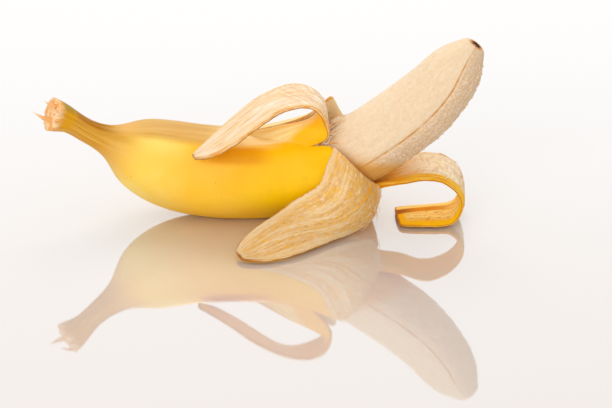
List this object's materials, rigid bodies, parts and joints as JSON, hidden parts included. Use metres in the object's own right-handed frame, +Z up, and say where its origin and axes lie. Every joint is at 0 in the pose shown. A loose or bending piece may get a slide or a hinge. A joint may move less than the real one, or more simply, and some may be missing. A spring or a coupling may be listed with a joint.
{
  "type": "half-peeled banana",
  "caption": "Ripe banana lying on its side, peeled halfway, with its peel torn into long strips folded back from the bare fruit.",
  "frame": {"origin": "bottom centre of the banana's box, on the surface it lies on", "axes": "+X from the broken stem towards the bare fruit, +Z up, -Y the side with the widest strip"},
  "size_m": [0.1748, 0.0888, 0.0791],
  "materials": {
    "peel": "waxy yellow skin outside, pale fibrous pith inside",
    "flesh": "matt, finely ridged cream fruit"
  },
  "bodies": {
    "root": {"peel": "peel", "flesh": "flesh"}
  },
  "joints": []
}
